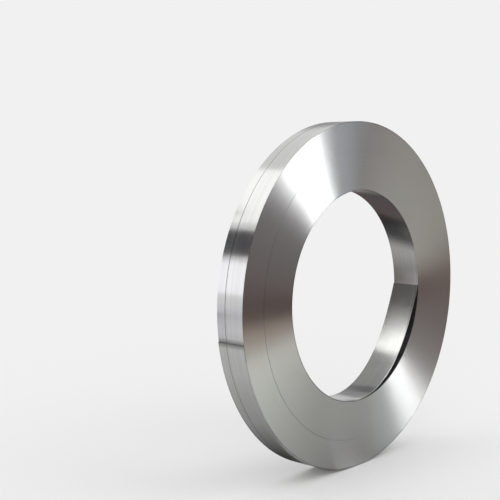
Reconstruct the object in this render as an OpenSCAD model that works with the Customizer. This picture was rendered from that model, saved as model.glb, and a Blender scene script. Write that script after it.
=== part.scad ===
// A narrow coil of titanium zinc strip, standing on its rim.
// One continuous strip is wound on itself from the bore outwards. The spiral is drawn as with
// compasses: its two halves are struck from two centres that lie half a strip thickness apart, so
// the turns run on from half to half and the strip leaves a step where it begins and where it ends.
// The edges of the turns stand on both ends of that body as rings one strip thickness apart.
// Millimetres, +Z up. The coil's axis lies along Y, its front end faces -Y, and it stands on Z = 0.

/* [Strip] */
// Thickness of the strip
strip_thickness = 1; // [0.5:0.1:2]
// Width of the strip, from the front end of the coil to its back end
strip_width = 44; // [20:1:120]
// Bevel that the slitting knives leave along the strip's edges
edge_bevel = 0.2; // [0.05:0.05:0.2]

/* [Coil] */
// Bore that the strip is wound on
bore_d = 300; // [150:1:610]
// Whole turns that were wound first, counted from the bore
first_turns = 56; // [10:1:150]
// Whole turns that were wound on those, after the strip was guided a little further back
later_turns = 40; // [10:1:150]
// Angle of the strip's outer end, from +X towards +Z as seen from the front
outer_end_angle = 189; // [100:1:260]

/* [Winding] */
// Distance that the later turns lie further back than the first ones
later_wind_shift = 0.4; // [0.05:0.05:2]
// Furthest that a single turn strays sideways from its neighbours
turn_stray = 0.1; // [0:0.05:0.3]

/* [Rolled line] */
// Distance of the line that runs along the strip's face from the coil's back end
line_from_back = 14; // [2:0.5:18]
// Width of the line
line_width = 0.8; // [0.2:0.1:2]
// Depth of the line
line_depth = 0.2; // [0.05:0.05:0.4]

/* [Hidden] */
$fn = 180;

// The half with the ends holds the strip's first and last half turns, so it has one layer more.
turns = first_turns + later_turns;
inner_r_with_ends = bore_d / 2;
outer_r_with_ends = inner_r_with_ends + (turns + 1) * strip_thickness;
// The half between is struck from a centre half a thickness further from the outer end.
centre_shift = strip_thickness / 2;
inner_r_between = inner_r_with_ends + centre_shift;
outer_r_between = outer_r_with_ends - centre_shift;
// The rings of turn edges are struck from midway between those centres, and leave the first and
// the last turn to the body.
ring_centre_shift = centre_shift / 2;
ring_turns = turns - 1;
ring_r = inner_r_with_ends + strip_thickness;
shift_turn = first_turns - 1;
shift_r = ring_r + shift_turn * strip_thickness;
// Depth to which the rings are rooted in the body
ring_root = 4;
// The body's ends lie just under the deepest notch between the turns.
notch_clear = 0.05;
body_drop = edge_bevel + turn_stray + notch_clear;
// The body changes level under the rings, clear of the place where the turns do.
level_clear = 2 * strip_thickness;
// Degrees between the stray of one turn and that of the next
stray_step = 137.5;

// How far the later turns stand out at an end: facing is 1 at the front end and -1 at the back.
function later_wind_out(facing) = -facing * later_wind_shift;

// Height of one turn's edge above the middle of the strip's width
function edge_height(turn, facing) =
    strip_width / 2
    + facing * turn_stray * sin(turn * stray_step)
    + (turn < shift_turn ? 0 : later_wind_out(facing));

// Section of the turn edges at one end, from the bore to the rim: a flat land on each turn and a
// notch between the bevels of each turn and the next
function edges_section(facing) =
    let (
        edge = [for (turn = [0 : ring_turns - 1]) edge_height(turn, facing)],
        notch = [for (turn = [0 : ring_turns])
            min(edge[max(turn - 1, 0)], edge[min(turn, ring_turns - 1)]) - edge_bevel]
    )
    [
        for (turn = [0 : ring_turns - 1]) each [
            [ring_r + turn * strip_thickness, notch[turn]],
            [ring_r + turn * strip_thickness + edge_bevel, edge[turn]],
            [ring_r + (turn + 1) * strip_thickness - edge_bevel, edge[turn]]
        ],
        [ring_r + ring_turns * strip_thickness, notch[ring_turns]]
    ];

// Section of one end of the body, from the bore to the rim
function body_end_section(inner_r, outer_r, facing) =
    let (
        level_r = shift_r + level_clear * sign(later_wind_out(facing)),
        bore_height = strip_width / 2 - body_drop,
        rim_height = bore_height + later_wind_out(facing)
    )
    [
        [inner_r, facing * bore_height],
        [level_r, facing * bore_height],
        [level_r, facing * rim_height],
        [outer_r, facing * rim_height]
    ];

// Section of the rolled line where it shows on the rim, from the front to the back
function line_section(outer_r) =
    let (line_height = line_from_back - strip_width / 2)
    [
        [outer_r, line_height + line_width / 2],
        [outer_r - line_depth, line_height],
        [outer_r, line_height - line_width / 2]
    ];

function reversed(points) = [for (i = [len(points) - 1 : -1 : 0]) points[i]];

// Whole section of one half of the body
module half_section(inner_r, outer_r) {
    polygon(concat(
        body_end_section(inner_r, outer_r, 1),
        line_section(outer_r),
        reversed(body_end_section(inner_r, outer_r, -1))
    ));
}

// The wound body: the half that carries both ends of the strip, and the half between
module wound_body() {
    rotate_extrude(angle = 180)
        half_section(inner_r_with_ends, outer_r_with_ends);
    translate([-centre_shift, 0, 0])
        rotate_extrude(angle = 180, start = 180)
            half_section(inner_r_between, outer_r_between);
}

// The edges of the turns at one end, rooted in the body
module turn_edges(facing) {
    root_height = strip_width / 2 - ring_root;
    section = concat(
        edges_section(facing),
        [
            [ring_r + ring_turns * strip_thickness, root_height],
            [ring_r, root_height]
        ]
    );
    translate([-ring_centre_shift, 0, 0])
        rotate_extrude()
            polygon([for (p = section) [p[0], facing * p[1]]]);
}

module strip_coil() {
    color("silver")
        translate([0, 0, outer_r_with_ends])
            rotate([90, 0, 0])
                rotate([0, 0, outer_end_angle]) {
                    wound_body();
                    turn_edges(1);
                    turn_edges(-1);
                }
}

strip_coil();
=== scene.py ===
# A narrow coil of titanium zinc strip, standing on its rim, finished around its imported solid.
# Metres, +Z up. The coil's axis lies along Y, its front end faces -Y, and it stands on Z = 0.
import math

import bpy
from mathutils import Matrix, Vector


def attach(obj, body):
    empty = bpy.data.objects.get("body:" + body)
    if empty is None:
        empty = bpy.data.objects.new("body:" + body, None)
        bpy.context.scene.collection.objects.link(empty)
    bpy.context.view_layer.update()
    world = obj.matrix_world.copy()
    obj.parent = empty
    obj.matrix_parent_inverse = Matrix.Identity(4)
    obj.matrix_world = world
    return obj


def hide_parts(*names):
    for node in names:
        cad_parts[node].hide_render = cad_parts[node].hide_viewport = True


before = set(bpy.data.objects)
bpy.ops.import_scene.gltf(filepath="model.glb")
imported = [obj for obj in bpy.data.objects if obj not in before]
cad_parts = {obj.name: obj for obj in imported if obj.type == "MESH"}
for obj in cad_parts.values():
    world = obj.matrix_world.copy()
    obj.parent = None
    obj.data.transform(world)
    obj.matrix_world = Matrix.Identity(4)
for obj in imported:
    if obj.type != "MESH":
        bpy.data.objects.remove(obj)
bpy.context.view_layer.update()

MM = 0.001

# The strip and its winding, in the sizes of the part's source
STRIP_THICKNESS = 1.0 * MM
STRIP_WIDTH = 44.0 * MM
BORE_RADIUS = 150.0 * MM
FIRST_TURNS = 56
LATER_TURNS = 40
TURNS = FIRST_TURNS + LATER_TURNS
LATER_WIND_SHIFT = 0.4 * MM
OUTER_END_ANGLE = math.radians(189.0)
HALF_CENTRE_SHIFT = STRIP_THICKNESS / 2
AXIS_HEIGHT = BORE_RADIUS + (TURNS + 1) * STRIP_THICKNESS
MIDDLE_RADIUS = (BORE_RADIUS + AXIS_HEIGHT) / 2
LINE_FROM_BACK = 14.0 * MM
LINE_WIDTH = 0.8 * MM
LINE_DEPTH = 0.2 * MM

# Relief of the slit edges: how deep the notch between two turns is, how far the middle of an edge
# is crowned, and the slack left where the strip was guided further back, which is deepest at one
# angle from the outer end and closes to either side
NOTCH_DEPTH = 0.15 * MM
EDGE_CROWN = 0.015 * MM
EDGE_PARTS = 4
SLACK_DEPTH = 1.5 * MM
SLACK_MIDDLE = math.radians(12.0)
SLACK_REACH = math.radians(70.0)
SLACK_STAGES = 6
HALF_TURN_STEPS = 60

# The first half turn of the strip lies on the wall of the bore up to one angle and springs away from
# there to its inner end, which touches the wall again: how far it reaches inwards, and how steeply
# it leaves the wall and comes back to it
LOOSE_FROM = math.radians(-93.0)
LOOSE_TO = math.radians(0.5)
LOOSE_REACH = 13.0 * MM
LOOSE_RISE = 2.0
LOOSE_FALL = 1.0
LOOSE_CREST = LOOSE_RISE / (LOOSE_RISE + LOOSE_FALL)
INNER_END_STEPS = 110
INNER_END_BEVEL = 0.12 * MM

# Edges that turn by more than this stay crisp
CRISP_ANGLE = math.radians(15.0)
# Distance under which two places count as one, and share of a turn within which a place is at it
SAME_PLACE = 0.02 * MM
NEAR_TURN = 0.1


def pick(piece, wanted):
    """Select the points of a piece whose place is wanted, and nothing else."""
    bpy.ops.object.mode_set(mode="OBJECT")
    mesh = piece.data
    mesh.polygons.foreach_set("select", [False] * len(mesh.polygons))
    mesh.edges.foreach_set("select", [False] * len(mesh.edges))
    mesh.vertices.foreach_set("select", [wanted(point.co) for point in mesh.vertices])
    bpy.ops.object.mode_set(mode="EDIT")


def flat_outline(name, low_x, high_x, width):
    """A rectangle's outline, flat beside the coil's axis, left open for edit mode."""
    bpy.ops.object.select_all(action="DESELECT")
    bpy.ops.mesh.primitive_plane_add(size=1.0, location=((low_x + high_x) / 2, 0.0, 0.0))
    piece = bpy.context.object
    piece.name = name
    piece.scale = (high_x - low_x, width, 1.0)
    bpy.ops.object.transform_apply(location=True, rotation=True, scale=True)
    bpy.ops.object.mode_set(mode="EDIT")
    bpy.ops.mesh.select_all(action="SELECT")
    bpy.ops.mesh.delete(type="ONLY_FACE")
    return piece


def turn_at(place):
    """Turns of strip between the bore and a place on the flat section."""
    return (place.x - BORE_RADIUS) / STRIP_THICKNESS


def between_turns(place):
    return abs(turn_at(place) - round(turn_at(place))) < NEAR_TURN


def mid_turn(place):
    return abs(turn_at(place) % 1.0 - 0.5) < NEAR_TURN


def in_later_turns(place):
    """Whether a place moves with the later turns, as the notch before the first of them does in front."""
    notch_side = -NEAR_TURN if place.y < 0 else NEAR_TURN
    return turn_at(place) > FIRST_TURNS + notch_side


def cut_turn_edges(section, layers, side):
    """Divide one end of the section into turns, with a notch between each two and a slight crown."""
    pick(section, lambda place: place.y * side > 0)
    bpy.ops.mesh.subdivide(number_cuts=layers - 1)
    pick(section, lambda place: place.y * side > 0)
    bpy.ops.mesh.subdivide(number_cuts=EDGE_PARTS - 1)
    pick(section, lambda place: place.y * side > 0 and between_turns(place))
    bpy.ops.transform.translate(value=(0.0, -side * NOTCH_DEPTH, 0.0))
    pick(section, lambda place: place.y * side > 0 and mid_turn(place))
    bpy.ops.transform.translate(value=(0.0, side * EDGE_CROWN, 0.0))


def roll_line(section, rim_x):
    """Sink the line that runs along the strip's face into the rim."""
    line_y = STRIP_WIDTH / 2 - LINE_FROM_BACK
    line_points = (
        (-STRIP_WIDTH / 4, line_y - LINE_WIDTH / 2, 0.0),
        (0.0, line_y, -LINE_DEPTH),
        (STRIP_WIDTH / 4, line_y + LINE_WIDTH / 2, 0.0),
    )
    pick(section, lambda place: place.x > rim_x - SAME_PLACE)
    bpy.ops.mesh.subdivide(number_cuts=len(line_points))
    # The last point moves first, so that none passes another.
    for cut_y, wanted_y, sunk in reversed(line_points):
        pick(section, lambda place: place.x > rim_x - SAME_PLACE and abs(place.y - cut_y) < MM)
        bpy.ops.transform.translate(value=(sunk, wanted_y - cut_y, 0.0))


def guide_back(section):
    """Move the later turns a little further back."""
    pick(section, in_later_turns)
    bpy.ops.transform.translate(value=(0.0, LATER_WIND_SHIFT, 0.0))


def open_slack(half, centre_x):
    """Deepen the front notch under the first of the later turns, stage by stage towards its middle."""
    notch_radius = BORE_RADIUS + FIRST_TURNS * STRIP_THICKNESS - centre_x

    def off_middle(place):
        return abs(math.atan2(place.z, place.x) - SLACK_MIDDLE) / SLACK_REACH

    def in_notch(place):
        off_notch = math.hypot(place.x - centre_x, place.z) - notch_radius
        return abs(off_notch) < NEAR_TURN * STRIP_THICKNESS

    for stage in range(SLACK_STAGES):
        pick(half, lambda place: (
            place.y < 0 and in_notch(place) and off_middle(place) < 1.0 - stage / SLACK_STAGES
        ))
        bpy.ops.transform.translate(value=(0.0, SLACK_DEPTH / SLACK_STAGES, 0.0))


def wind_half(name, first_layer, layers, centre_x, way):
    """One half of the winding: a section through its layers, spun half a turn about its centre."""
    bore_x = BORE_RADIUS + first_layer * STRIP_THICKNESS
    rim_x = bore_x + layers * STRIP_THICKNESS
    half = flat_outline(name, bore_x, rim_x, STRIP_WIDTH)
    for side in (-1, 1):
        cut_turn_edges(half, layers, side)
    roll_line(half, rim_x)
    guide_back(half)
    bpy.ops.mesh.select_all(action="SELECT")
    bpy.ops.mesh.spin(
        steps=HALF_TURN_STEPS, angle=math.pi, center=(centre_x, 0.0, 0.0), axis=(0.0, way, 0.0)
    )
    open_slack(half, centre_x)
    bpy.ops.object.mode_set(mode="OBJECT")
    return half


def close_shell():
    """Merge the seams of the piece in edit mode, close its open ends and turn its faces outwards."""
    bpy.ops.mesh.select_all(action="SELECT")
    bpy.ops.mesh.remove_doubles(threshold=SAME_PLACE)
    bpy.ops.mesh.fill_holes(sides=0)
    bpy.ops.mesh.select_all(action="SELECT")
    bpy.ops.mesh.normals_make_consistent(inside=False)
    bpy.ops.object.mode_set(mode="OBJECT")


def stand_up(piece, angle):
    """Turn a wound piece about the coil's axis, lift it to its height and smooth its curved faces."""
    piece.rotation_euler = (0.0, -angle, 0.0)
    piece.location = (0.0, 0.0, AXIS_HEIGHT)
    bpy.ops.object.transform_apply(location=True, rotation=True, scale=True)
    bpy.ops.object.shade_smooth_by_angle(angle=CRISP_ANGLE)


def wind_coil():
    """The wound strip but for its first half turn: the half with the strip's ends, and the half between."""
    between = wind_half("between_half", 0, TURNS, -HALF_CENTRE_SHIFT, -1)
    coil = wind_half("wound_strip", 1, TURNS, 0.0, 1)
    between.select_set(True)
    bpy.context.view_layer.objects.active = coil
    bpy.ops.object.join()
    bpy.ops.object.mode_set(mode="EDIT")
    close_shell()
    stand_up(coil, OUTER_END_ANGLE)
    return coil


def loose_gap(angle):
    """How far the strip's first half turn stands away from the wall of the bore at an angle."""
    run = (angle - LOOSE_FROM) / (LOOSE_TO - LOOSE_FROM)
    if not 0.0 < run < 1.0:
        return 0.0
    rise = (run / LOOSE_CREST) ** LOOSE_RISE
    fall = ((1.0 - run) / (1.0 - LOOSE_CREST)) ** LOOSE_FALL
    return LOOSE_REACH * rise * fall


def spring_inner_end():
    """The strip's first half turn, from the outer end's angle on to the inner end."""
    inner_end = flat_outline("inner_end", BORE_RADIUS, BORE_RADIUS + STRIP_THICKNESS, STRIP_WIDTH)
    bpy.ops.mesh.select_all(action="SELECT")
    bpy.ops.mesh.bevel(offset=INNER_END_BEVEL, affect="VERTICES")
    bpy.ops.mesh.select_all(action="SELECT")
    begins = OUTER_END_ANGLE - 2 * math.pi
    length = LOOSE_TO - begins
    bpy.ops.mesh.spin(
        steps=INNER_END_STEPS, angle=length, center=(0.0, 0.0, 0.0), axis=(0.0, 1.0, 0.0)
    )
    step = length / INNER_END_STEPS
    for count in range(INNER_END_STEPS + 1):
        spun = step * count
        gap = loose_gap(begins + spun)
        if gap > 0.0:
            pick(inner_end, lambda place: abs(math.atan2(place.z, place.x) - spun) < step / 4)
            bpy.ops.transform.translate(value=(-gap * math.cos(spun), 0.0, -gap * math.sin(spun)))
    close_shell()
    stand_up(inner_end, begins)
    return inner_end


# Finishes

ZINC_LIGHT = (0.66, 0.66, 0.655, 1.0)
ZINC_DULL = (0.58, 0.58, 0.575, 1.0)
# Painted shade: the almost black tone of the faces in the gap behind the loose stretch
ZINC_GAP_SHADE = (0.035, 0.034, 0.036, 1.0)
# A dark tone: for the darker slit edges, the rolled line and the cut marks, and for painted shade at the
# strip's outer end and in the gap behind the loose stretch
DARK_TONE = (0.16, 0.16, 0.165, 1.0)

# In what follows a scale counts a noise's waves in a metre, a stretch counts them along each axis,
# and a pair gives what the low and the high values of the noise stand for
NOISE_LOW = 0.3
NOISE_HIGH = 0.7
NOISE_DETAIL = 3.0
NOISE_ROUGHNESS = 0.55
BUMP_STRENGTH = 0.5

# Slit edges: the fine lines along their turns, and the darkening of the outermost and innermost ones
EDGE_ANISOTROPY = 1.0
EDGE_LINE_SCALE = 700.0
EDGE_LINE_DETAIL = 2.0
EDGE_LINE_TONES = (0.35, 1.0)
EDGE_LINE_ROUGHNESS = (0.40, 0.36)
EDGE_LINE_RELIEF = 0.01 * MM
EDGE_DARKENING_SCALE = 40.0
EDGE_DARKENING_SHARES = (0.35, 0.75)
OUTER_DARKENING_REACH = 1.5 * STRIP_THICKNESS
INNER_DARKENING_MIDDLE = BORE_RADIUS + STRIP_THICKNESS / 2
INNER_DARKENING_REACH = STRIP_THICKNESS

# Rolled faces: streaks along the strip, smudges, and painted shade to either side of its outer end
ROLLED_ANISOTROPY = 0.6
STREAK_STRETCH = (3.0, 240.0, 3.0)
STREAK_TONES = (0.2, 1.0)
SMUDGE_SCALE = 14.0
SMUDGE_ROUGHNESS = (0.13, 0.20)
SMUDGE_RELIEF = 0.15 * MM
END_SHADE = 0.85
END_SHADE_REACH = 7.0 * MM

# Sheared ends: the marks of the cut
SHEAR_STRETCH = (1500.0, 40.0, 1500.0)
SHEAR_ROUGHNESS = (0.45, 0.6)
SHEAR_RELIEF = 0.02 * MM

# Faces of the gap behind the loose stretch, painted almost black as painted shade: the mottling of that
# shade
GAP_MOTTLE_SCALE = 60.0
GAP_MOTTLE_ROUGHNESS = (0.5, 0.65)
GAP_MOTTLE_RELIEF = 0.02 * MM
GAP_MOTTLE_BUMP_STRENGTH = 0.3


def node(tree, kind, **settings):
    made = tree.nodes.new(kind)
    for name, value in settings.items():
        setattr(made, name, value)
    return made


def object_place(tree):
    return node(tree, "ShaderNodeTexCoord").outputs["Object"]


def parts_of(tree, vector):
    """The X, Y and Z of a vector, by their names."""
    parts = node(tree, "ShaderNodeSeparateXYZ")
    tree.links.new(vector, parts.inputs["Vector"])
    return parts.outputs


def vector_math(tree, operation, first, second=None):
    """The result of an operation on a vector, and on a constant one where it takes two."""
    made = node(tree, "ShaderNodeVectorMath", operation=operation)
    tree.links.new(first, made.inputs[0])
    if second is not None:
        made.inputs[1].default_value = second
    return made.outputs["Value" if operation in ("LENGTH", "DOT_PRODUCT") else "Vector"]


def math_node(tree, operation, first, *others):
    """The result of an operation on a value, and on numbers or more values."""
    made = node(tree, "ShaderNodeMath", operation=operation)
    tree.links.new(first, made.inputs[0])
    for place, other in enumerate(others, 1):
        if isinstance(other, float):
            made.inputs[place].default_value = other
        else:
            tree.links.new(other, made.inputs[place])
    return made.outputs["Value"]


def ranged(tree, value, low, high, from_low=NOISE_LOW, from_high=NOISE_HIGH):
    """A value carried over from one range to another."""
    mapped = node(tree, "ShaderNodeMapRange")
    mapped.inputs["From Min"].default_value = from_low
    mapped.inputs["From Max"].default_value = from_high
    mapped.inputs["To Min"].default_value = low
    mapped.inputs["To Max"].default_value = high
    tree.links.new(value, mapped.inputs["Value"])
    return mapped.outputs["Result"]


def noise(tree, vector, scale):
    texture = node(tree, "ShaderNodeTexNoise")
    texture.inputs["Scale"].default_value = scale
    texture.inputs["Detail"].default_value = NOISE_DETAIL
    texture.inputs["Roughness"].default_value = NOISE_ROUGHNESS
    tree.links.new(vector, texture.inputs["Vector"])
    return texture.outputs["Fac"]


def stretched_noise(tree, vector, stretch):
    mapping = node(tree, "ShaderNodeMapping")
    mapping.inputs["Scale"].default_value = stretch
    tree.links.new(vector, mapping.inputs["Vector"])
    return noise(tree, mapping.outputs["Vector"], 1.0)


def tinted(tree, value, low, high):
    """A colour between two, by a value."""
    mix = node(tree, "ShaderNodeMix", data_type="RGBA")
    mix.inputs["A"].default_value = low
    mix.inputs["B"].default_value = high
    tree.links.new(value, mix.inputs["Factor"])
    return mix.outputs["Result"]


def darkened(tree, metal, share):
    """A metal's colour, darkened towards the dark tone to a share: on the slit edges and in the rolled
    line, and as painted shade at the strip's outer end.
    """
    mix = node(tree, "ShaderNodeMix", data_type="RGBA")
    mix.inputs["B"].default_value = DARK_TONE
    tree.links.new(metal, mix.inputs["A"])
    tree.links.new(share, mix.inputs["Factor"])
    return mix.outputs["Result"]


def bumped(tree, shader, height, relief, strength=BUMP_STRENGTH):
    """Give a surface a fine relief."""
    bump = node(tree, "ShaderNodeBump")
    bump.inputs["Strength"].default_value = strength
    bump.inputs["Distance"].default_value = relief
    tree.links.new(height, bump.inputs["Height"])
    tree.links.new(bump.outputs["Normal"], shader.inputs["Normal"])


def metal_finish(name, anisotropy):
    """A metal material with its shader, and object coordinates centred on the coil's axis."""
    material = bpy.data.materials.new(name)
    material.use_nodes = True
    tree = material.node_tree
    tree.nodes.clear()
    output = node(tree, "ShaderNodeOutputMaterial")
    shader = node(tree, "ShaderNodeBsdfPrincipled")
    shader.inputs["Metallic"].default_value = 1.0
    shader.inputs["Anisotropic"].default_value = anisotropy
    tree.links.new(shader.outputs["BSDF"], output.inputs["Surface"])
    centred = node(tree, "ShaderNodeMapping")
    centred.inputs["Location"].default_value = (0.0, 0.0, -AXIS_HEIGHT)
    tree.links.new(object_place(tree), centred.inputs["Vector"])
    return material, tree, shader, centred.outputs["Vector"]


def from_axis(tree, place):
    """The way from the coil's axis straight out to a place."""
    return vector_math(tree, "MULTIPLY", place, (1.0, 0.0, 1.0))


def edge_darkening(tree, place, radius):
    """How dark the slit edges are made: only the outermost and innermost turns, unevenly along them."""
    outermost = math_node(tree, "COMPARE", radius, AXIS_HEIGHT, OUTER_DARKENING_REACH)
    innermost = math_node(tree, "COMPARE", radius, INNER_DARKENING_MIDDLE, INNER_DARKENING_REACH)
    along = ranged(tree, noise(tree, place, EDGE_DARKENING_SCALE), *EDGE_DARKENING_SHARES)
    return math_node(tree, "MULTIPLY", along, math_node(tree, "MAXIMUM", outermost, innermost))


def slit_edge_finish():
    """The slit edges: fine lines along the turns, so that light spreads across them."""
    material, tree, shader, place = metal_finish("slit_edge_zinc", EDGE_ANISOTROPY)
    outwards = from_axis(tree, place)
    radius = vector_math(tree, "LENGTH", outwards)
    tree.links.new(vector_math(tree, "NORMALIZE", outwards), shader.inputs["Tangent"])
    texture = node(tree, "ShaderNodeTexNoise", noise_dimensions="1D")
    texture.inputs["Scale"].default_value = EDGE_LINE_SCALE
    texture.inputs["Detail"].default_value = EDGE_LINE_DETAIL
    tree.links.new(radius, texture.inputs["W"])
    lines = texture.outputs["Fac"]
    metal = tinted(tree, ranged(tree, lines, *EDGE_LINE_TONES), ZINC_DULL, ZINC_LIGHT)
    darkened_edges = darkened(tree, metal, edge_darkening(tree, place, radius))
    tree.links.new(darkened_edges, shader.inputs["Base Color"])
    tree.links.new(ranged(tree, lines, *EDGE_LINE_ROUGHNESS), shader.inputs["Roughness"])
    bumped(tree, shader, lines, EDGE_LINE_RELIEF)
    return material


def rim_line_and_end_shade(tree, place):
    """How dark the rim is made: full in the rolled line, and painted shade fading to either side of the
    strip's outer end.
    """
    parts = parts_of(tree, place)
    line_y = STRIP_WIDTH / 2 - LINE_FROM_BACK + LATER_WIND_SHIFT
    in_line = math_node(tree, "COMPARE", parts["Y"], line_y, LINE_WIDTH / 2)
    angle = math_node(tree, "ARCTAN2", parts["Z"], parts["X"])
    past_end = math_node(tree, "SUBTRACT", angle, OUTER_END_ANGLE - 2 * math.pi)
    off_end = math_node(tree, "ABSOLUTE", past_end)
    # Painted shade at the strip's outer end, fading out a few millimetres to either side of it
    end_shade = ranged(tree, off_end, END_SHADE, 0.0, 0.0, END_SHADE_REACH / AXIS_HEIGHT)
    radius = vector_math(tree, "LENGTH", from_axis(tree, place))
    on_rim = math_node(tree, "GREATER_THAN", radius, MIDDLE_RADIUS)
    return math_node(tree, "MULTIPLY", on_rim, math_node(tree, "MAXIMUM", in_line, end_shade))


def rolled_finish():
    """The rolled faces of the strip: faint lines along it, smudges, a dark rolled line on the rim, and
    painted shade at the strip's outer end.
    """
    material, tree, shader, place = metal_finish("rolled_zinc", ROLLED_ANISOTROPY)
    across = node(tree, "ShaderNodeCombineXYZ")
    across.inputs["Y"].default_value = 1.0
    tree.links.new(across.outputs["Vector"], shader.inputs["Tangent"])
    streaks = stretched_noise(tree, place, STREAK_STRETCH)
    smudges = noise(tree, place, SMUDGE_SCALE)
    metal = tinted(tree, ranged(tree, streaks, *STREAK_TONES), ZINC_DULL, ZINC_LIGHT)
    lined_and_shaded = darkened(tree, metal, rim_line_and_end_shade(tree, place))
    tree.links.new(lined_and_shaded, shader.inputs["Base Color"])
    tree.links.new(ranged(tree, smudges, *SMUDGE_ROUGHNESS), shader.inputs["Roughness"])
    bumped(tree, shader, smudges, SMUDGE_RELIEF)
    return material


def sheared_finish():
    """The two ends of the strip, cut with shears: dull, with the marks of the cut across them."""
    material, tree, shader, place = metal_finish("sheared_zinc", 0.0)
    marks = stretched_noise(tree, place, SHEAR_STRETCH)
    tree.links.new(tinted(tree, marks, DARK_TONE, ZINC_DULL), shader.inputs["Base Color"])
    tree.links.new(ranged(tree, marks, *SHEAR_ROUGHNESS), shader.inputs["Roughness"])
    bumped(tree, shader, marks, SHEAR_RELIEF)
    return material


def gap_shade_finish():
    """The faces of the gap behind the loose stretch: dull, and painted almost black as the shade inside the
    gap.
    """
    material, tree, shader, place = metal_finish("gap_shade_zinc", 0.0)
    gap_mottling = noise(tree, place, GAP_MOTTLE_SCALE)
    # Painted shade: the gap's faces are tinted between almost black and the dark tone
    tree.links.new(tinted(tree, gap_mottling, ZINC_GAP_SHADE, DARK_TONE), shader.inputs["Base Color"])
    tree.links.new(ranged(tree, gap_mottling, *GAP_MOTTLE_ROUGHNESS), shader.inputs["Roughness"])
    bumped(tree, shader, gap_mottling, GAP_MOTTLE_RELIEF, GAP_MOTTLE_BUMP_STRENGTH)
    return material


SLIT_EDGE, ROLLED_FACE, SHEARED_END, GAP_SHADE_FACE = range(4)
# How far the slit edges reach in at most, with their notches, slack and shift
SLIT_EDGE_REACH = 2.0 * MM
# A face whose normal leans less than this towards or away from the axis is an end of the strip
LEAST_LEAN = 0.5


def strip_surface(face):
    """Which of the strip's surfaces a face lies on."""
    if abs(face.center.y) > STRIP_WIDTH / 2 - SLIT_EDGE_REACH:
        return SLIT_EDGE
    outwards = Vector((face.center.x, 0.0, face.center.z - AXIS_HEIGHT))
    lean = face.normal.dot(outwards.normalized())
    if abs(lean) < LEAST_LEAN:
        return SHEARED_END
    beside_loose = LOOSE_FROM < math.atan2(outwards.z, outwards.x) < LOOSE_TO
    loose_outside = lean > 0 and outwards.length < MIDDLE_RADIUS
    wall_behind = lean < 0 and outwards.length > BORE_RADIUS + STRIP_THICKNESS / 2
    # Faces in the gap behind the loose stretch get the painted shade
    return GAP_SHADE_FACE if beside_loose and (loose_outside or wall_behind) else ROLLED_FACE


FINISHES = (slit_edge_finish(), rolled_finish(), sheared_finish(), gap_shade_finish())


def dress(piece):
    """Give each face of a piece the finish of the surface that it lies on."""
    piece.data.materials.clear()
    for finish in FINISHES:
        piece.data.materials.append(finish)
    for face in piece.data.polygons:
        face.material_index = strip_surface(face)


coil = wind_coil()
dress(coil)
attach(coil, "root")
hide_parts("strip_coil")

inner_end = spring_inner_end()
dress(inner_end)
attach(inner_end, "root")

# Camera

CAMERA_PLACE = (-1.1373, -0.8445, 0.4392)
CAMERA_DOWN = math.radians(5.19)
CAMERA_RIGHT = math.radians(47.73)
CAMERA_LENS = 71.2
CAMERA_SENSOR = 36.0

camera = bpy.data.objects.new("camera", bpy.data.cameras.new("camera"))
bpy.context.collection.objects.link(camera)
camera.data.sensor_width = CAMERA_SENSOR
camera.data.lens = CAMERA_LENS
camera.location = CAMERA_PLACE
camera.rotation_euler = (math.pi / 2 - CAMERA_DOWN, 0.0, -CAMERA_RIGHT)
bpy.context.scene.camera = camera

# Floor and backdrop

WHITE = (1.0, 1.0, 1.0, 1.0)
# Level of the pale backdrop, a little under white so that bright metal stands out from it
BACKDROP = 0.88
FLOOR_SIZE = 24.0
FLOOR_TONE = (0.93, 0.93, 0.93, 1.0)
FLOOR_ROUGHNESS = 0.9
# Distances from the coil's foot between which the floor turns to the backdrop's tone
FLOOR_FADE = (0.5, 1.5)


def pale_floor_finish():
    """A matt pale floor that turns to the backdrop's tone far off, where it is seen or mirrored."""
    material = bpy.data.materials.new("pale_floor")
    material.use_nodes = True
    tree = material.node_tree
    shader = tree.nodes["Principled BSDF"]
    shader.inputs["Base Color"].default_value = FLOOR_TONE
    shader.inputs["Roughness"].default_value = FLOOR_ROUGHNESS
    shader.inputs["Specular IOR Level"].default_value = 0.0
    rays = node(tree, "ShaderNodeLightPath").outputs
    seen = math_node(tree, "MAXIMUM", rays["Is Camera Ray"], rays["Is Glossy Ray"])
    shown = math_node(tree, "MAXIMUM", seen, rays["Is Transmission Ray"])
    away = vector_math(tree, "LENGTH", object_place(tree))
    far_off = ranged(tree, away, 0.0, 1.0, *FLOOR_FADE)
    backdrop = node(tree, "ShaderNodeEmission")
    backdrop.inputs["Strength"].default_value = BACKDROP
    mix = node(tree, "ShaderNodeMixShader")
    tree.links.new(math_node(tree, "MULTIPLY", far_off, shown), mix.inputs["Fac"])
    tree.links.new(shader.outputs["BSDF"], mix.inputs[1])
    tree.links.new(backdrop.outputs["Emission"], mix.inputs[2])
    tree.links.new(mix.outputs["Shader"], tree.nodes["Material Output"].inputs["Surface"])
    return material


bpy.ops.object.select_all(action="DESELECT")
bpy.ops.mesh.primitive_plane_add(size=FLOOR_SIZE)
floor = bpy.context.object
floor.name = "floor"
floor.data.materials.append(pale_floor_finish())

world = bpy.data.worlds.new("studio")
world.use_nodes = True
bpy.context.scene.world = world
surroundings = world.node_tree.nodes["Background"]
surroundings.inputs["Color"].default_value = WHITE
surroundings.inputs["Strength"].default_value = BACKDROP

# Cards, which only show in reflections, and lamps

COIL_MIDDLE = (0.0, 0.0, AXIS_HEIGHT)
UPRIGHT = (0.0, 0.0, 1.0)
# Where a flat card's sides are in its own coordinates, and how fast a soft one's glow falls off to them
CARD_SIDE = 0.5
FALL_OFF = 2.5


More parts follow.
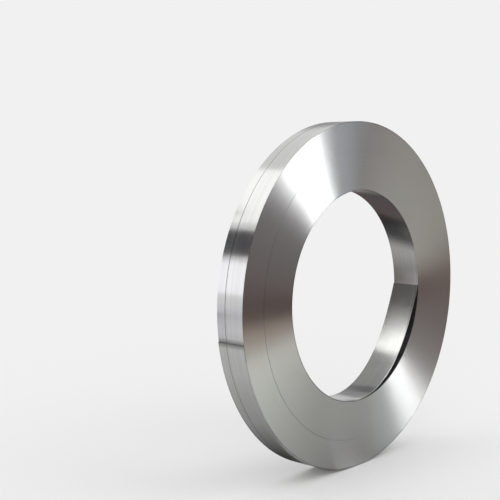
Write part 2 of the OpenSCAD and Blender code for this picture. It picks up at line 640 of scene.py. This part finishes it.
def only_in_reflections(card):
    card.visible_camera = False
    card.visible_diffuse = False
    card.visible_shadow = False
    card.visible_transmission = False


def turned_to(place, target, long_way):
    """Rotation of a lamp or card at a place, so that it faces a target and its length runs one way."""
    backwards = (Vector(place) - Vector(target)).normalized()
    across = Vector(long_way).cross(backwards).normalized()
    along = backwards.cross(across)
    return Matrix((across, along, backwards)).transposed().to_euler()


def glow_material(name, colour=WHITE):
    """A material that glows, with its tree and the node of its glow."""
    material = bpy.data.materials.new(name)
    material.use_nodes = True
    tree = material.node_tree
    tree.nodes.clear()
    output = node(tree, "ShaderNodeOutputMaterial")
    glow = node(tree, "ShaderNodeEmission")
    glow.inputs["Color"].default_value = colour
    tree.links.new(glow.outputs["Emission"], output.inputs["Surface"])
    return material, tree, glow


def ramped(tree, value, stops):
    """Colours that change from stop to stop with a value."""
    low = stops[0][0]
    high = stops[-1][0]
    ramp = node(tree, "ShaderNodeValToRGB")
    tree.links.new(ranged(tree, value, 0.0, 1.0, low, high), ramp.inputs["Fac"])
    elements = ramp.color_ramp.elements
    while len(elements) < len(stops):
        elements.new(1.0)
    for element, (place, colour) in zip(elements, stops):
        element.position = (place - low) / (high - low)
        element.color = colour + (1.0,)
    return ramp.outputs["Color"]


def outward_glow(name, stops):
    """A glow that changes with the way along the floor from the coil's foot and then up."""
    material, tree, glow = glow_material(name)
    place = object_place(tree)
    along_floor = vector_math(tree, "MULTIPLY", place, (1.0, 1.0, 0.0))
    way = math_node(tree, "ADD", vector_math(tree, "LENGTH", along_floor), parts_of(tree, place)["Z"])
    tree.links.new(ramped(tree, way, stops), glow.inputs["Color"])
    return material


def slanting_glow(name, stops):
    """A glow that changes across the floor, from its back left to its front right."""
    material, tree, glow = glow_material(name)
    way = vector_math(tree, "DOT_PRODUCT", object_place(tree), (1.0, -1.0, 0.0))
    tree.links.new(ramped(tree, way, stops), glow.inputs["Color"])
    return material


def spun_card(name, profile, from_angle, turn, steps, material):
    """A card that is spun about the upright axis from a profile of distances and heights."""
    card = flat_outline(name, 0.0, 1.0, 1.0)
    bpy.ops.mesh.select_all(action="SELECT")
    bpy.ops.mesh.delete(type="EDGE_FACE")
    # The one corner that stays, beside the upright axis, becomes the first point of the profile.
    pick(card, lambda place: place.x + place.y > 0)
    bpy.ops.mesh.delete(type="VERT")
    bpy.ops.mesh.select_all(action="SELECT")
    first, *others = profile
    bpy.ops.transform.translate(value=(first[0], CARD_SIDE, first[1]))
    last = first
    for following in others:
        bpy.ops.mesh.extrude_region_move(
            TRANSFORM_OT_translate={"value": (following[0] - last[0], 0.0, following[1] - last[1])}
        )
        last = following
    bpy.ops.mesh.select_all(action="SELECT")
    bpy.ops.mesh.spin(steps=steps, angle=turn, center=(0.0, 0.0, 0.0), axis=(0.0, 0.0, 1.0))
    bpy.ops.object.mode_set(mode="OBJECT")
    card.rotation_euler = (0.0, 0.0, from_angle)
    bpy.ops.object.transform_apply(location=True, rotation=True, scale=True)
    card.data.materials.append(material)
    only_in_reflections(card)


def flat_card(name, middle, size, colour, target=COIL_MIDDLE, long_way=UPRIGHT):
    """A card that faces a target, and the tree and node of its glow."""
    bpy.ops.object.select_all(action="DESELECT")
    bpy.ops.mesh.primitive_plane_add(
        size=1.0, location=middle, rotation=turned_to(middle, target, long_way)
    )
    card = bpy.context.object
    card.name = name
    card.scale = (size[0], size[1], 1.0)
    material, tree, glow = glow_material(name, colour + (1.0,))
    card.data.materials.append(material)
    only_in_reflections(card)
    return tree, glow


def soft_card(name, middle, size, colour, long_way, core, bright, dim):
    """A card whose glow falls off from a bright core to its two long sides, slower and slower."""
    tree, glow = flat_card(name, middle, size, colour, long_way=long_way)
    off_middle = math_node(tree, "ABSOLUTE", parts_of(tree, object_place(tree))["X"])
    from_side = ranged(tree, off_middle, 1.0, 0.0, core / 2, CARD_SIDE)
    share = math_node(tree, "POWER", from_side, FALL_OFF)
    strength = ranged(tree, share, dim, bright, 0.0, 1.0)
    tree.links.new(strength, glow.inputs["Strength"])


def upright_card(name, away, low, high, colour):
    """A card parallel to the coil's ends, at a distance behind its middle, between two corners."""
    middle_x = (low[0] + high[0]) / 2
    middle_z = (low[1] + high[1]) / 2
    flat_card(
        name, (middle_x, away, middle_z), (high[0] - low[0], high[1] - low[1]), colour,
        target=(middle_x, 0.0, middle_z),
    )


def soft_lamp(name, place, size, power, long_way=UPRIGHT):
    data = bpy.data.lights.new(name, "AREA")
    data.shape = "RECTANGLE"
    data.size, data.size_y = size
    data.energy = power
    lamp = bpy.data.objects.new(name, data)
    bpy.context.collection.objects.link(lamp)
    lamp.location = place
    lamp.rotation_euler = turned_to(place, COIL_MIDDLE, long_way)
    lamp.visible_camera = False
    return lamp


# Heights of the cards that lie on the floor, one above the other. Their stops give a way in metres and
# the tone there.
SHADE_LIFT = 0.4 * MM
ROOM_LIFT = 0.6 * MM
BEHIND_LIFT = 0.8 * MM

# The room in front of the coil: dull floor with painted shade close to the coil's foot, a dark foot far off
# and a dim wall
ROOM_DEPTH = 4.0
WALL_HEIGHT = 5.0
ROOM_STOPS = (
    # Painted shade: the floor darkens towards the coil's foot
    (0.05, (0.32, 0.32, 0.31)),
    (0.25, (0.72, 0.74, 0.70)),
    (0.45, (1.03, 1.07, 1.00)),
    (0.58, (0.95, 0.98, 0.89)),
    (0.75, (0.73, 0.68, 0.59)),
    (0.95, (0.76, 0.67, 0.58)),
    (1.03, (0.38, 0.29, 0.24)),
    (1.15, (0.14, 0.095, 0.09)),
    (ROOM_DEPTH, (0.15, 0.115, 0.11)),
    (5.2, (0.26, 0.245, 0.245)),
    (ROOM_DEPTH + WALL_HEIGHT, (0.31, 0.31, 0.34)),
)
spun_card(
    "front_room",
    ((0.05, ROOM_LIFT), (2.0, ROOM_LIFT), (ROOM_DEPTH, ROOM_LIFT), (ROOM_DEPTH, WALL_HEIGHT)),
    from_angle=math.radians(15.0), turn=math.radians(210.0), steps=60,
    material=outward_glow("front_room", ROOM_STOPS),
)
flat_card("right_side", middle=(2.7, -0.5, 1.5), size=(3.0, 2.4), colour=(0.34, 0.34, 0.35))
flat_card("back_right", middle=(2.0, 2.2, 0.7), size=(3.0, 1.5), colour=(0.68, 0.68, 0.69))

# Two bright panels above the front end, one white and one like the sky
PANEL_WAY = (-0.15, -0.07, 0.986)
soft_card(
    "key_panel", middle=(0.10, -0.48, 0.95), size=(0.78, 0.64), colour=(0.97, 0.98, 1.0),
    long_way=PANEL_WAY, core=0.30, bright=9.5, dim=0.6,
)
soft_card(
    "sky_panel", middle=(0.42, -0.54, 1.00), size=(0.90, 0.70), colour=(0.76, 0.90, 1.0),
    long_way=PANEL_WAY, core=0.55, bright=1.5, dim=0.35,
)

# The coil's own shade on the floor behind its foot
SHADE_STOPS = (
    (0.0, (0.02, 0.02, 0.02)),
    (0.11, (0.04, 0.04, 0.04)),
    (0.21, (0.34, 0.34, 0.34)),
    (0.40, (0.57, 0.57, 0.57)),
    (0.75, (0.67, 0.67, 0.67)),
    (0.88, (0.80, 0.80, 0.84)),
    (3.00, (0.80, 0.80, 0.85)),
)
spun_card(
    "foot_shade", ((0.0, SHADE_LIFT), (0.35, SHADE_LIFT), (3.0, SHADE_LIFT)),
    from_angle=math.radians(195.0), turn=math.radians(210.0), steps=48,
    material=outward_glow("foot_shade", SHADE_STOPS),
)

# What the bore mirrors behind the coil: a patchy floor, and patches of other tones above it
BEHIND_STOPS = (
    (-0.85, (0.20, 0.19, 0.175)),
    (-0.37, (0.52, 0.51, 0.51)),
    (-0.26, (0.06, 0.06, 0.06)),
    (-0.13, (0.04, 0.036, 0.037)),
    (-0.09, (0.13, 0.105, 0.107)),
    (0.11, (0.10, 0.085, 0.086)),
    (0.28, (0.26, 0.25, 0.25)),
    (0.70, (0.42, 0.43, 0.44)),
)
spun_card(
    "behind_floor", ((0.20, BEHIND_LIFT), (0.80, BEHIND_LIFT), (1.80, BEHIND_LIFT)),
    from_angle=math.radians(141.0), turn=math.radians(121.0), steps=40,
    material=slanting_glow("behind_floor", BEHIND_STOPS),
)
# Distances behind the coil's middle at which these patches stand, one before the other
BEHIND_NEAR = 0.298
BEHIND = 0.300
BEHIND_FAR = 0.302
upright_card("behind_high", BEHIND, low=(-0.06, 0.26), high=(0.42, 0.68), colour=(0.33, 0.33, 0.33))
upright_card("behind_spot", BEHIND_NEAR, low=(0.25, 0.40), high=(0.34, 0.52), colour=(0.16, 0.16, 0.16))
upright_card("behind_pale", BEHIND, low=(-0.228, 0.49), high=(-0.08, 0.64), colour=(1.82, 1.82, 1.76))
upright_card("behind_dim", BEHIND_FAR, low=(-0.37, 0.28), high=(-0.05, 0.62), colour=(0.09, 0.084, 0.078))
upright_card("behind_low", BEHIND_FAR, low=(-0.37, 0.10), high=(-0.20, 0.28), colour=(0.17, 0.145, 0.125))

# What the front end mirrors low before it, to the left and to the right of its middle
BEFORE = -0.300
upright_card("left_dark", BEFORE, low=(-0.27, 0.165), high=(0.02, 0.235), colour=(0.06, 0.03, 0.028))
upright_card("left_low", BEFORE, low=(-0.27, 0.095), high=(-0.03, 0.165), colour=(0.34, 0.22, 0.17))
upright_card("right_dim", BEFORE, low=(0.24, 0.165), high=(0.38, 0.218), colour=(0.42, 0.36, 0.32))

# What the rim mirrors behind its left side: a dark bar, and something bright below it
flat_card(
    "dark_bar", middle=(-1.41, 1.36, 1.18), size=(1.6, 0.50), colour=(0.10, 0.10, 0.105),
    target=(-0.23, 0.0, 0.33), long_way=(0.55, 0.0, 0.835),
)
flat_card(
    "bright_low", middle=(-2.4, 2.1, 0.75), size=(2.4, 0.9), colour=(1.40, 1.39, 1.44),
    target=(-0.23, 0.0, 0.30),
)

key_lamp = soft_lamp("key_lamp", place=(0.6, -1.6, 2.2), size=(1.2, 1.2), power=5.0)
key_lamp.visible_glossy = False
soft_lamp(
    "back_lamp", place=(-0.64, 1.335, 1.75), size=(0.7, 1.2), power=1.6, long_way=(0.923, 0.0, 0.384)
)

bpy.context.scene.view_settings.view_transform = "Standard"
